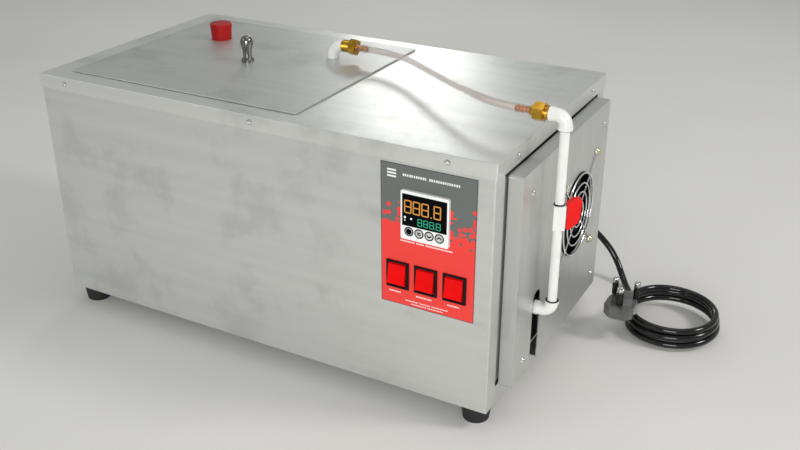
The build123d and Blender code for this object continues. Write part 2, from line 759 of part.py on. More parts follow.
def coil_ends():
    """Where the cord joins the coil, low on its left, and where the plug's end leaves it, on top."""
    left = COIL_AT[0] - COIL_R
    low = FLOOR + CORD_R
    tail = Vector(left + 1.3, COIL_AT[1] + 7, FLOOR + COIL_H + 1.2)
    return (left, MAINS_ROUTE[-1][1], low), tail


def plug_entry():
    return Vector(PLUG_X, PLUG_Y[1], PLUG_Z[0] + 7)


def tail_direction():
    return (plug_entry() - coil_ends()[1]).normalized()


def cord_coil():
    ring = pipe(COIL_R + CORD_R, COIL_R - CORD_R, (*COIL_AT, FLOOR), UP, COIL_H)
    ring = fillet(ring.edges().filter_by(GeomType.CIRCLE), CORD_R * 0.8)
    start, tail = coil_ends()
    ring += rod(CORD_R, start, (0, -1, 0), start[1] - COIL_AT[1])
    return ring + rod(CORD_R, tail, tail_direction() * -1, 14)


def cord_tail():
    tail = coil_ends()[1]
    return rod(CORD_R, tail, tail_direction(), (plug_entry() - tail).length)


def plug_body():
    half = PLUG_W / 2
    front, rear = PLUG_Y
    outline = [(-half, front + 8), (-half + 8, front), (half - 8, front), (half, front + 8),
               (half, rear - 22), (9, rear), (-9, rear), (-half, rear - 22)]
    shape = Pos(PLUG_X, 0, PLUG_Z[0]) * make_face(Polyline(*outline, close=True))
    body = extrude(shape, amount=PLUG_Z[1] - PLUG_Z[0])
    body = fillet(body.edges().filter_by(Axis.Z), 3)
    body = fillet(body.faces().sort_by(Axis.Z)[-1].edges(), 2)
    body = chamfer(body.faces().sort_by(Axis.Z)[0].edges(), 2.4)
    keep = Plane(origin=plug_entry(), z_dir=tail_direction())
    body -= keep * Cylinder(CORD_R + 2, 8, align=(Align.CENTER, Align.CENTER, Align.MAX))
    return body + pipe_sleeve(keep)


def pipe_sleeve(plane):
    """The moulded collar that the cord's end sits against."""
    return plane * Cylinder(CORD_R + 2, 8, align=(Align.CENTER, Align.CENTER, Align.MIN))


def plug_pins():
    y = PLUG_Y[0] + 33
    pins = [rod(3.5, (PLUG_X + side * PIN_GAP / 2, y, PLUG_Z[1]), UP, PIN_LENGTH) for side in (-1, 1)]
    pins.append(rod(4.0, (PLUG_X, y - 23, PLUG_Z[1]), UP, PIN_LENGTH))
    return group(fillet(pin.edges().group_by(Axis.Z)[-1], 1.2) for pin in pins)


# ---- write every piece ----
single_pieces = [
    cabinet_shell, base_plate, back_panel, top_cover, top_cover_screws, bath_tank, tank_insulation,
    heater, temperature_probe, bath_shelf, suction_pipe, pump_housing, pump_motor, pump_impeller,
    pump_bracket, delivery_pipe, side_cover, cover_rails, cover_spacers, side_cover_screws,
    fan_frame, fan_rotor, fan_guard, fan_screws, riser_elbow_lower, riser_elbow_upper,
    riser_pipe_lower, riser_pipe_upper, riser_fitting, valve_body, valve_ball, valve_handle,
    lid_panel, lid_knob, lid_elbow, lid_fitting, lid_stopper, control_label, controller_housing,
    controller_bezel, controller_display, relay, terminal_block, cable_gland, mains_cord,
    cord_coil, cord_tail, plug_body, plug_pins,
]
for piece in single_pieces:
    save(piece.__name__, piece())
save("feet", group(foot(x, y) for x, y in foot_places()))
save("foot_screws", group(foot_screw(x, y) for x, y in foot_places()))
save("switch_housings", group(switch_housing(x) for x in SWITCH_X))
for number, x in enumerate(SWITCH_X, start=1):
    save(f"rocker_{number}", rocker(x))
for number, x in enumerate(key_places(), start=1):
    save(f"key_{number}", controller_key(x))
save("hose", cord_tube("hose", HOSE_ROUTE, HOSE_R, HOSE_BORE))
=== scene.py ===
"""Circulating water bath: its looks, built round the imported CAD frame."""

import math

import bmesh
import bpy
from mathutils import Matrix, Vector

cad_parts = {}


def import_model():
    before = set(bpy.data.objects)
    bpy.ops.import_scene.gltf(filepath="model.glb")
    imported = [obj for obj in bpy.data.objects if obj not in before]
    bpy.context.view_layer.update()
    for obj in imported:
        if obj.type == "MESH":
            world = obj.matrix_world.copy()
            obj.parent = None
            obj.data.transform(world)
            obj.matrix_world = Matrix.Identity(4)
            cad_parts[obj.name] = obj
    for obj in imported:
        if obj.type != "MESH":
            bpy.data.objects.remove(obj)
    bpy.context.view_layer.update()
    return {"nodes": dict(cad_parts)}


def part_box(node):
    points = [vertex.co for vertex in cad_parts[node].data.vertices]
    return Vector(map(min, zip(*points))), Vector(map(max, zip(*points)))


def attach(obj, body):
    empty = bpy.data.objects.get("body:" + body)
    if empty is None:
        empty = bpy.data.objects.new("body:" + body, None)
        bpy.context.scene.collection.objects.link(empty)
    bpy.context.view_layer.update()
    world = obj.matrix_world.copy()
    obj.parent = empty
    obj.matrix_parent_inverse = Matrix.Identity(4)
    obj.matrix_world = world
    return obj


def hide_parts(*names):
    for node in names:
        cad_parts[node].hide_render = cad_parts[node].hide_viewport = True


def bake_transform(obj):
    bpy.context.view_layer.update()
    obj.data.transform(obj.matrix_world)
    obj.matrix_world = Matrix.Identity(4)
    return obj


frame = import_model()
NODES = frame["nodes"]

MM = 0.001
# Lengths below are in millimetres from the cabinet's lower front left corner; place() turns them
# into the part's own frame, in metres.
CABINET_CORNER = Vector((-299.6, -147.7, 20.0))


def place(x, y, z):
    return (Vector((x, y, z)) + CABINET_CORNER) * MM


# ---------------------------------------------------------------- materials
class Paint:
    """A node material being built: one Principled shader and the nodes that feed it."""

    def __init__(self, name, colour, rough, metal=0.0, **sockets):
        self.material = bpy.data.materials.new(name)
        self.material.use_nodes = True
        self.tree = self.material.node_tree
        self.shader = self.tree.nodes["Principled BSDF"]
        self.set("Base Color", (*colour, 1.0))
        self.set("Roughness", rough)
        self.set("Metallic", metal)
        for socket, value in sockets.items():
            self.set(socket.replace("_", " "), value)
        self.coords = self.node("ShaderNodeTexCoord").outputs["Object"]
        self.last_normal = None

    def set(self, socket, value):
        self.shader.inputs[socket].default_value = value

    def node(self, kind, **values):
        made = self.tree.nodes.new(kind)
        for key, value in values.items():
            if hasattr(made, key):
                setattr(made, key, value)
            else:
                made.inputs[key.replace("_", " ")].default_value = value
        return made

    def link(self, output, target):
        self.tree.links.new(output, target)

    def stretched(self, scale):
        mapping = self.node("ShaderNodeMapping", Scale=scale)
        self.link(self.coords, mapping.inputs["Vector"])
        return mapping.outputs["Vector"]

    def noise(self, scale, detail=3.0, stretch=(1, 1, 1), roughness=0.5):
        made = self.node("ShaderNodeTexNoise", Scale=scale, Detail=detail, Roughness=roughness)
        self.link(self.stretched(stretch), made.inputs["Vector"])
        return made.outputs["Fac"]

    def ramp(self, factor, stops, smooth=False):
        """A colour ramp with (position, colour) stops, eased between them if smooth."""
        made = self.node("ShaderNodeValToRGB")
        if smooth:
            made.color_ramp.interpolation = "EASE"
        elements = made.color_ramp.elements
        while len(elements) < len(stops):
            elements.new(0.5)
        for element, (at, colour) in zip(elements, stops):
            element.position = at
            element.color = (*colour, 1.0)
        self.link(factor, made.inputs["Fac"])
        return made.outputs["Color"]

    def math(self, operation, first, second):
        made = self.node("ShaderNodeMath", operation=operation)
        for index, value in enumerate((first, second)):
            if isinstance(value, (int, float)):
                made.inputs[index].default_value = value
            else:
                self.link(value, made.inputs[index])
        return made.outputs["Value"]

    def mix(self, factor, first, second):
        made = self.node("ShaderNodeMix", data_type="RGBA")
        self.link(factor, made.inputs["Factor"])
        for socket, value in (("A", first), ("B", second)):
            target = [s for s in made.inputs if s.name == socket and s.type == "RGBA"][0]
            if isinstance(value, tuple):
                target.default_value = (*value, 1.0)
            else:
                self.link(value, target)
        return [s for s in made.outputs if s.type == "RGBA"][0]

    def colour(self, output):
        self.link(output, self.shader.inputs["Base Color"])

    def rough(self, factor, low, high):
        made = self.node("ShaderNodeMapRange", To_Min=low, To_Max=high)
        self.link(factor, made.inputs["Value"])
        self.link(made.outputs["Result"], self.shader.inputs["Roughness"])

    def bump(self, height, strength, distance):
        made = self.node("ShaderNodeBump", Strength=strength, Distance=distance)
        self.link(height, made.inputs["Height"])
        if self.last_normal:
            self.link(self.last_normal, made.inputs["Normal"])
        self.last_normal = made.outputs["Normal"]
        self.link(self.last_normal, self.shader.inputs["Normal"])


# Below one, so that sheet keeps its pale grey where it mirrors nothing bright.
SHEET_METALLIC = 0.72
STREAK_STRENGTH = 0.55


def steel(name, light, dark, grain, rough=(0.30, 0.46)):
    """Satin sheet metal: a fine grain along one way, and large faint cloudy smudges."""
    paint = Paint(name, light, rough[0], metal=SHEET_METALLIC)
    clouds = paint.noise(13.0, 5.0, roughness=0.62)
    lines = paint.noise(90.0, 2.0, stretch=grain)
    smudges = paint.noise(24.0, 5.0, roughness=0.62)
    tone = paint.ramp(clouds, [(0.33, dark), (0.50, light)], smooth=True)
    streaks = paint.ramp(lines, [(0.25, (0.86, 0.86, 0.86)), (0.75, (1.0, 1.0, 1.0))])
    blend = paint.node("ShaderNodeMix", data_type="RGBA", blend_type="MULTIPLY")
    blend.inputs["Factor"].default_value = STREAK_STRENGTH
    sockets = [s for s in blend.inputs if s.type == "RGBA"]
    paint.link(tone, sockets[0])
    paint.link(streaks, sockets[1])
    paint.colour([s for s in blend.outputs if s.type == "RGBA"][0])
    paint.rough(smudges, *rough)
    paint.bump(lines, 0.05, 0.0004)
    return paint.material


def bright_metal(name, colour, tint, rough=(0.10, 0.22)):
    """Polished or plated metal, with patches of tint where it has dulled."""
    paint = Paint(name, colour, rough[0], metal=1.0)
    wear = paint.noise(160.0, 4.0)
    paint.colour(paint.ramp(wear, [(0.35, tint), (0.65, colour)]))
    paint.rough(wear, *rough)
    paint.bump(paint.noise(900.0, 2.0), 0.04, 0.0002)
    return paint.material


def moulded(name, colour, rough, grain=700.0, depth=0.08, variation=0.06, **sockets):
    """Moulded plastic or rubber: a fine surface grain and a slight change of tone."""
    paint = Paint(name, colour, rough, **sockets)
    tone = paint.noise(45.0, 3.0)
    darker = tuple(channel * (1 - variation) for channel in colour)
    lighter = tuple(min(1.0, channel * (1 + variation)) for channel in colour)
    paint.colour(paint.ramp(tone, [(0.35, darker), (0.65, lighter)]))
    paint.rough(tone, rough * 0.9, min(1.0, rough * 1.12))
    paint.bump(paint.noise(grain, 2.0), depth, 0.0002)
    return paint.material


LABEL_GREY = (0.125, 0.140, 0.132)
LABEL_RED = (0.86, 0.040, 0.030)
# The label is red below this height above its lower edge and grey above the other, in mm.
DOTS_LOW, DOTS_HIGH = 68, 122
DOT_PITCH = 5.0
DOT_REACH = 0.50
DOT_SPREAD = 1.35
EDGE_LEVEL = 0.33


def label_film(name):
    """The printed label: grey above, red below, and round dots of both breaking up the edge."""
    paint = Paint(name, (0.8, 0.1, 0.07), 0.42, Coat_Weight=0.15, Coat_Roughness=0.25)
    split = paint.node("ShaderNodeSeparateXYZ")
    paint.link(paint.coords, split.inputs[0])
    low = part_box("control_label")[0].z
    level = paint.node("ShaderNodeMapRange", From_Min=low + DOTS_LOW * MM,
                       From_Max=low + DOTS_HIGH * MM, To_Min=-0.15, To_Max=1.15)
    paint.link(split.outputs["Z"], level.inputs["Value"])
    dots = paint.node("ShaderNodeTexVoronoi", Scale=1 / (DOT_PITCH * MM), Randomness=0.45)
    paint.link(paint.stretched((1, 0.001, 1)), dots.inputs["Vector"])
    inside = paint.math("LESS_THAN", dots.outputs["Distance"], DOT_REACH)
    centred = paint.math("SUBTRACT", dots.outputs["Color"], 0.5)
    by_cell = paint.math("MULTIPLY", centred, DOT_SPREAD)
    cell_red = paint.math("LESS_THAN", paint.math("ADD", level.outputs["Result"], by_cell), 0.5)
    edge_red = paint.math("LESS_THAN", level.outputs["Result"], EDGE_LEVEL)
    shown = paint.math("MULTIPLY", inside, cell_red)
    rest = paint.math("MULTIPLY", paint.math("SUBTRACT", 1.0, inside), edge_red)
    paint.colour(paint.mix(paint.math("ADD", shown, rest), LABEL_GREY, LABEL_RED))
    paint.bump(paint.noise(1500.0, 2.0), 0.05, 0.0001)
    return paint.material


def clear_vinyl(name):
    """Clear tubing with a faint pink haze."""
    paint = Paint(name, (0.96, 0.86, 0.83), 0.06, Transmission_Weight=0.9, IOR=1.38, Alpha=0.42,
                  Coat_Weight=0.3, Coat_Roughness=0.05)
    haze = paint.noise(38.0, 2.0)
    paint.colour(paint.ramp(haze, [(0.3, (0.94, 0.78, 0.74)), (0.7, (0.97, 0.90, 0.87))]))
    paint.rough(haze, 0.04, 0.10)
    paint.bump(paint.noise(90.0, 1.0), 0.03, 0.0002)
    return paint.material


def glowing(name, colour, strength):
    """A lit display segment, a little uneven."""
    paint = Paint(name, colour, 0.3, Emission_Strength=strength)
    grain = paint.noise(1600.0, 1.0)
    dimmer = tuple(channel * 0.8 for channel in colour)
    tone = paint.ramp(grain, [(0.3, dimmer), (0.7, colour)])
    paint.colour(tone)
    paint.link(tone, paint.shader.inputs["Emission Color"])
    return paint.material


def wool(name):
    """Fibrous insulation."""
    paint = Paint(name, (0.75, 0.70, 0.55), 0.95)
    fibres = paint.noise(300.0, 6.0, stretch=(1, 1, 4), roughness=0.7)
    paint.colour(paint.ramp(fibres, [(0.3, (0.55, 0.50, 0.36)), (0.7, (0.85, 0.80, 0.66))]))
    paint.bump(fibres, 0.6, 0.001)
    return paint.material


STEEL_LIGHT = (0.68, 0.69, 0.665)
STEEL_DARK = (0.60, 0.61, 0.585)
ALONG_X = (0.04, 1.0, 1.0)
ALONG_Z = (1.0, 1.0, 0.04)

body_steel = steel("body_steel", STEEL_LIGHT, STEEL_DARK, ALONG_X)
cover_steel = steel("cover_steel", (0.74, 0.75, 0.72), (0.64, 0.65, 0.62), ALONG_X, (0.30, 0.44))
side_steel = steel("side_steel", (0.60, 0.61, 0.59), (0.53, 0.54, 0.52), ALONG_Z)
lid_steel = steel("lid_steel", (0.60, 0.61, 0.59), (0.51, 0.52, 0.50), ALONG_X, (0.36, 0.5))
rail_paint = moulded("rail_paint", (0.34, 0.345, 0.335), 0.5, variation=0.08)
chrome = bright_metal("chrome", (0.86, 0.86, 0.87), (0.74, 0.74, 0.75), (0.06, 0.14))
dark_chrome = bright_metal("dark_chrome", (0.27, 0.27, 0.265), (0.19, 0.19, 0.19), (0.10, 0.18))
screw_metal = bright_metal("screw_metal", (0.78, 0.78, 0.77), (0.62, 0.62, 0.60), (0.18, 0.32))
brass = bright_metal("brass", (0.72, 0.42, 0.06), (0.46, 0.25, 0.03), (0.16, 0.30))
yellow_zinc = bright_metal("yellow_zinc", (0.80, 0.76, 0.48), (0.62, 0.56, 0.30), (0.2, 0.34))
copper = bright_metal("copper", (0.72, 0.30, 0.17), (0.45, 0.17, 0.09), (0.2, 0.36))
white_pvc = moulded("white_pvc", (0.86, 0.86, 0.83), 0.24, variation=0.03, Coat_Weight=0.4)
red_handle = moulded("red_handle", (0.82, 0.004, 0.004), 0.36, Specular_IOR_Level=0.3)
red_rubber = moulded("red_rubber", (0.36, 0.002, 0.003), 0.45, grain=420.0, depth=0.2,
                     variation=0.2, Specular_IOR_Level=0.3)
black_rubber = moulded("black_rubber", (0.012, 0.012, 0.013), 0.62, grain=380.0, depth=0.2)
black_plastic = moulded("black_plastic", (0.007, 0.007, 0.008), 0.42,
                        Specular_IOR_Level=0.14)
grey_plastic = moulded("grey_plastic", (0.92, 0.93, 0.92), 0.36, variation=0.03)
key_plastic = moulded("key_plastic", (0.62, 0.63, 0.63), 0.35)
window_black = moulded("window_black", (0.003, 0.003, 0.004), 0.15, grain=1200.0, depth=0.02,
                       Specular_IOR_Level=0.03)
rocker_red = moulded("rocker_red", (0.84, 0.001, 0.002), 0.36, grain=900.0,
                     Specular_IOR_Level=0.12)
cord_black = moulded("cord_black", (0.004, 0.004, 0.0045), 0.14, Specular_IOR_Level=0.35,
                     Coat_Weight=0.35, Coat_Roughness=0.04)
plug_grey = moulded("plug_grey", (0.075, 0.077, 0.075), 0.14, variation=0.45, Coat_Weight=0.8,
                    Coat_Roughness=0.05)
motor_paint = moulded("motor_paint", (0.10, 0.13, 0.20), 0.4, grain=260.0, depth=0.2)
aluminium = steel("aluminium", (0.72, 0.73, 0.74), (0.6, 0.61, 0.62), ALONG_Z, (0.35, 0.5))
white_ink = moulded("white_ink", (0.90, 0.90, 0.88), 0.5)
edge_ink = moulded("edge_ink", (0.05, 0.045, 0.04), 0.5)
orange_glow = glowing("orange_glow", (0.60, 0.27, 0.045), 0.42)
green_glow = glowing("green_glow", (0.015, 0.32, 0.19), 0.42)
white_glow = glowing("white_glow", (0.85, 0.86, 0.80), 0.5)
film = label_film("label_film")
vinyl = clear_vinyl("clear_vinyl")
mineral_wool = wool("mineral_wool")

NODE_LOOKS = {
    body_steel: ("cabinet_shell", "base_plate", "back_panel", "bath_tank", "bath_shelf",
                 "pump_bracket"),
    rail_paint: ("cover_rails",),
    cover_steel: ("top_cover",),
    side_steel: ("side_cover",),
    lid_steel: ("lid_panel",),
    dark_chrome: ("lid_knob",),
    chrome: ("fan_guard", "heater", "temperature_probe", "suction_pipe"),
    screw_metal: ("top_cover_screws", "side_cover_screws", "cover_spacers", "foot_screws"),
    brass: ("riser_fitting", "lid_fitting"),
    yellow_zinc: ("fan_screws",),
    white_pvc: ("delivery_pipe", "riser_elbow_lower", "riser_elbow_upper", "riser_pipe_lower",
                "riser_pipe_upper", "valve_body", "valve_ball", "lid_elbow"),
    red_handle: ("valve_handle",),
    red_rubber: ("lid_stopper",),
    black_rubber: ("feet", "cable_gland"),
    black_plastic: ("pump_housing", "pump_impeller", "fan_frame", "fan_rotor", "controller_housing",
                    "switch_housings", "terminal_block"),
    grey_plastic: ("controller_bezel",),
    key_plastic: ("key_1", "key_2", "key_3", "key_4"),
    window_black: ("controller_display",),
    rocker_red: ("rocker_1", "rocker_2", "rocker_3"),
    film: ("control_label",),
    mineral_wool: ("tank_insulation",),
    motor_paint: ("pump_motor",),
    aluminium: ("relay",),
    plug_grey: ("plug_body",),
    cord_black: ("plug_pins",),
}


def wear(obj, material):
    """Give an object one material and no other."""
    obj.data.materials.clear()
    obj.data.materials.append(material)


for look, names in NODE_LOOKS.items():
    for name in names:
        wear(NODES[name], look)


# ---------------------------------------------------------------- mesh helpers
def piece(name, mesh, material, body):
    """A new object for a mesh; it rides on a body unless that is None."""
    obj = bpy.data.objects.new(name, mesh)
    bpy.context.scene.collection.objects.link(obj)
    wear(obj, material)
    if body:
        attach(obj, body)
    return obj


def from_bmesh(name, shape, smooth=True):
    """The bmesh as a mesh with outward faces; the bmesh is used up."""
    bmesh.ops.recalc_face_normals(shape, faces=shape.faces)
    mesh = bpy.data.meshes.new(name)
    shape.to_mesh(mesh)
    shape.free()
    for polygon in mesh.polygons:
        polygon.use_smooth = smooth
    return mesh


def lathe(shape, profile, frame_matrix, steps=40):
    """A closed profile of (distance from the axis, height) points turned about the frame's Z."""
    rings = []
    for radius, height in profile:
        turns = [math.tau * i / steps for i in range(steps)]
        points = [Vector((radius * math.cos(a), radius * math.sin(a), height)) for a in turns]
        rings.append([shape.verts.new(frame_matrix @ point) for point in points])
    for ring, following in zip(rings, rings[1:] + rings[:1]):
        for i in range(steps):
            j = (i + 1) % steps
            shape.faces.new((ring[i], ring[j], following[j], following[i]))


def facing(origin, direction):
    """A frame at origin with its Z along direction."""
    turned = Vector(direction).to_track_quat("Z", "Y").to_matrix().to_4x4()
    return Matrix.Translation(origin) @ turned


def tube_along(shape, points, radii, bore=None, steps=20):
    """A closed tube through the points, with a radius at each, and a bore if one is given."""
    tangents = []
    for i, point in enumerate(points):
        before = points[max(0, i - 1)]
        after = points[min(len(points) - 1, i + 1)]
        tangents.append((after - before).normalized())
    side = tangents[0].orthogonal().normalized()
    frames = []
    for tangent in tangents:
        side = (side - tangent * side.dot(tangent)).normalized()
        frames.append((side.copy(), tangent.cross(side)))

    def skin(sizes):
        rings = []
        for point, size, (across, up) in zip(points, sizes, frames):
            turns = [math.tau * k / steps for k in range(steps)]
            spots = [point + (across * math.cos(a) + up * math.sin(a)) * size for a in turns]
            rings.append([shape.verts.new(spot) for spot in spots])
        for ring, following in zip(rings, rings[1:]):
            for k in range(steps):
                n = (k + 1) % steps
                shape.faces.new((ring[k], ring[n], following[n], following[k]))
        return rings

    outer = skin(radii)
    if bore is None:
        shape.faces.new(outer[0])
        shape.faces.new(outer[-1])
        return
    inner = skin(bore)
    for end in (0, -1):
        for k in range(steps):
            n = (k + 1) % steps
            shape.faces.new((outer[end][k], outer[end][n], inner[end][n], inner[end][k]))


def smooth_line(points, name):
    """The points of the NURBS spline that a route's points control."""
    curve = route_curve(name, points, 0.0)
    mesh = bpy.data.meshes.new_from_object(curve)
    line = [vertex.co.copy() for vertex in mesh.vertices]
    bpy.data.meshes.remove(mesh)
    bpy.data.objects.remove(curve)
    return line


def route_curve(name, points, radius):
    """An open NURBS curve object through the route, round in section if it has a radius."""
    data = bpy.data.curves.new(name, "CURVE")
    data.dimensions = "3D"
    data.bevel_depth = radius
    data.bevel_resolution = 6
    data.resolution_u = 8
    data.use_fill_caps = True
    spline = data.splines.new("NURBS")
    spline.points.add(len(points) - 1)
    for spot, point in zip(spline.points, points):
        spot.co = (*point, 1.0)
    spline.order_u = 3
    spline.use_endpoint_u = True
    obj = bpy.data.objects.new(name, data)
    bpy.context.scene.collection.objects.link(obj)
    return obj


# ---------------------------------------------------------------- mains cord, coil and tail
CORD_R = 3.9
FLOOR_Z = -20.0
COIL_X, COIL_Y, COIL_R = 659.0, 283.0, 49.4
COIL_TURNS = 3
COIL_STEPS = 16
COIL_PITCH = 9.0
MAINS_ROUTE = [
    (517, 322, 58),
    (517.5, 338, 57.5),
    (522, 353, 53),
    (531, 364, 43.5),
    (543, 369, 31),
    (556, 370, 17.5),
    (567, 367, 3.5),
    (576, 359, -8),
    (585, 347, -14.5),
    (594, 333.5, -16.1),
    (602, 319, -16.1),
    (609.6, 305, -16.1),
]
PLUG_ENTRY = (610.0, 267.5, 14.5)
TAIL = [(610.0, 286.5, 8.6), (610.0, 277.5, 11.8), PLUG_ENTRY]
# Past this many turns the coil's last stretch climbs by this much, towards the plug's entry.
TAIL_TURN = 2.72
TAIL_RISE = 4.2
STACKING = 0.98


def coil_points():
    """Stacked turns, counter-clockwise from above, that start and end at the coil's left."""
    spots = []
    count = COIL_TURNS * COIL_STEPS
    for i in range(1, count):
        turn = i / COIL_STEPS
        angle = math.pi + math.tau * turn
        wander = 0.9 * math.sin(1.7 * turn + 0.4) + 0.5 * math.sin(5.1 * turn)
        reach = COIL_R / math.cos(math.pi / COIL_STEPS) + wander
        drift_x = 0.8 * math.sin(2.3 * turn)
        rise = min(COIL_PITCH * turn, COIL_PITCH * COIL_TURNS - 2 * CORD_R)
        rise += TAIL_RISE * max(0.0, turn - TAIL_TURN) / (COIL_TURNS - TAIL_TURN)
        x = COIL_X + drift_x + reach * math.cos(angle)
        y = COIL_Y + reach * math.sin(angle)
        spots.append((x, y, FLOOR_Z + CORD_R + rise * STACKING))
    return spots


def make_mains_cord():
    """The cord from the gland, through the coil, to the plug, as one curve."""
    points = [place(*spot) for spot in MAINS_ROUTE + coil_points() + TAIL]
    cord = route_curve("mains_lead", points, CORD_R * MM)
    wear(cord, cord_black)
    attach(cord, "cabinet")
    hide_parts("mains_cord", "cord_coil", "cord_tail")
    line = smooth_line(points, "mains_line")


make_mains_cord()

# ---------------------------------------------------------------- clear hose
HOSE_R = 4.0
HOSE_BORE = 3.0
HOSE_ROUTE = [
    (289, 200.8, 284.5),
    (322, 200.8, 284.5),
    (358, 186, 286.5),
    (400, 154, 288.5),
    (440, 123, 290.5),
    (477, 97, 292.5),
    (513, 80.5, 291.5),
    (546.8, 80.5, 291.5),
]
BARB_LENGTH = 15.0
BARB_PITCH = 3.4
HOSE_STEP = 0.8


def swell(distance):
    """How far the hose stands out where a barb's ridge is under it, in millimetres."""
    if distance > BARB_LENGTH:
        return 0.0
    return 0.22 + 0.12 * math.cos(math.tau * distance / BARB_PITCH)


def make_hose():
    """The clear hose, a bored tube that swells over the barb at each end."""
    line = smooth_line([place(*spot) for spot in HOSE_ROUTE], "hose_line")
    fine = []
    for a, b in zip(line, line[1:]):
        pieces = max(1, round((b - a).length / (HOSE_STEP * MM)))
        fine += [a.lerp(b, k / pieces) for k in range(pieces)]
    fine.append(line[-1])
    travelled = [0.0]
    for a, b in zip(fine, fine[1:]):
        travelled.append(travelled[-1] + (b - a).length / MM)
    total = travelled[-1]
    bulge = [swell(min(s, total - s)) for s in travelled]
    radii = [(HOSE_R + extra) * MM for extra in bulge]
    bore = [(HOSE_BORE + extra) * MM for extra in bulge]
    shape = bmesh.new()
    tube_along(shape, fine, radii, bore, steps=24)
    hose = piece("clear_hose", from_bmesh("clear_hose", shape), vinyl, None)
    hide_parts("hose")
    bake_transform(hose)
    print("hose length", round(total, 1))


make_hose()


def barb_rings(name, start, direction, body):
    """The copper-coloured ridges of a barb, inside the hose's end."""
    shape = bmesh.new()
    ridge = [(2.95, 0.0), (3.16, 0.3), (3.0, 2.4), (2.95, 2.6)]
    for i in range(4):
        base = facing(place(*start) + Vector(direction) * (1.2 + BARB_PITCH * i) * MM, direction)
        lathe(shape, [(r * MM, h * MM) for r, h in ridge], base, steps=32)
    piece(name, from_bmesh(name, shape), copper, body)


barb_rings("lid_barb_ridges", HOSE_ROUTE[0], (1, 0, 0), "lid")
barb_rings("riser_barb_ridges", HOSE_ROUTE[-1], (-1, 0, 0), "cabinet")

THREAD_PITCH = 1.3
THREAD_ROOT, THREAD_CREST = 6.42, 6.85
THREAD_FOOT = 5.0


def thread_rings(name, start, direction, length, body):
    """The fine turned rings of a brass fitting's body."""
    shape = bmesh.new()
    base = facing(place(*start), direction)
    profile = [(THREAD_FOOT, 0.1)]
    for i in range(int(length / THREAD_PITCH)):
        low = 0.2 + THREAD_PITCH * i
        profile += [(THREAD_ROOT, low), (THREAD_CREST, low + 0.3), (THREAD_CREST, low + 0.7),
                    (THREAD_ROOT, low + 1.0)]
    profile.append((THREAD_FOOT, profile[-1][1] + 0.1))
    lathe(shape, [(r * MM, h * MM) for r, h in profile], base, steps=40)
    piece(name, from_bmesh(name, shape), brass, body)


thread_rings("lid_fitting_rings", (270.6, 200.8, 284.5), (1, 0, 0), 10.4, "lid")
thread_rings("riser_fitting_rings", (565.5, 80.5, 291.5), (-1, 0, 0), 4.5, "cabinet")

# ---------------------------------------------------------------- display, keys and printing
# A digit's seven bars, each from one (across, up) share of its width and height to another.
SEGMENTS = [
    ((0, 0), (1, 0)), ((0, 0.5), (1, 0.5)), ((0, 1), (1, 1)),
    ((0, 0), (0, 0.5)), ((0, 0.5), (0, 1)), ((1, 0), (1, 0.5)), ((1, 0.5), (1, 1)),
]
SEGMENT_GAP = 0.12
PRINT_DEPTH = 0.06


def bar(shape, start, end, y, width, depth, tip=0.0):
    """A flat bar between two (x, z) points, standing out of the plane y; a tip points its ends."""
    along = Vector((end[0] - start[0], end[1] - start[1]))
    reach = along.length
    along.normalize()
    across = Vector((-along.y, along.x)) * width / 2
    if tip:
        outline = [(0, 0), (tip, 1), (reach - tip, 1), (reach, 0), (reach - tip, -1), (tip, -1)]
    else:
        outline = [(0, 1), (reach, 1), (reach, -1), (0, -1)]
    flat = [Vector(start) + along * s + across * t for s, t in outline]
    front = [shape.verts.new(place(p.x, y - depth, p.y)) for p in flat]
    back = [shape.verts.new(place(p.x, y, p.y)) for p in flat]
    shape.faces.new(front)
    shape.faces.new(back)
    count = len(flat)
    for i in range(count):
        j = (i + 1) % count
        shape.faces.new((front[i], front[j], back[j], back[i]))


def digits(name, lefts, base, width, height, stroke, y, material):
    """Seven-segment eights with all their bars lit, and the point before the last one."""
    shape = bmesh.new()
    for left in lefts:
        for start, end in SEGMENTS:
            first = Vector((left + width * start[0], base + height * start[1]))
            last = Vector((left + width * end[0], base + height * end[1]))
            trim = (last - first).normalized() * (SEGMENT_GAP * stroke - stroke / 2)
            bar(shape, first + trim, last - trim, y, stroke, PRINT_DEPTH, tip=stroke / 2)
    point = (lefts[-1] + lefts[-2] + width) / 2
    half = stroke * 0.55
    bar(shape, (point - half, base), (point + half, base), y, stroke * 1.1, PRINT_DEPTH)
    piece(name, from_bmesh(name, shape, smooth=False), material, "cabinet")


def cabinet_mm(point):
    """The other way round from place(): the part's frame to millimetres from the corner."""
    return point / MM - CABINET_CORNER


GLASS_Y = cabinet_mm(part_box("controller_display")[0]).y
digits("upper_digits", (459.4, 468.4, 477.4, 490.0), 202.3, 6.6, 12.4, 1.1, GLASS_Y, orange_glow)
digits("lower_digits", (473.3, 479.5, 485.7, 492.5), 191.2, 4.1, 6.7, 0.8, GLASS_Y, green_glow)


def lamps_on_glass():
    """The two small square lamps left of the lower digits, and the dash under the first."""
    shape = bmesh.new()
    for x, z, size in ((459.6, 197.2, 1.9), (466.3, 196.6, 1.6)):
        bar(shape, (x - size / 2, z), (x + size / 2, z), GLASS_Y, size, PRINT_DEPTH)
    bar(shape, (459.6, 193.2), (459.6, 195.4), GLASS_Y, 0.6, PRINT_DEPTH)
    mesh = from_bmesh("indicator_lamps", shape, False)
    piece("indicator_lamps", mesh, white_glow, "cabinet")


lamps_on_glass()

KEY_BOXES = [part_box(f"key_{i}") for i in (1, 2, 3, 4)]


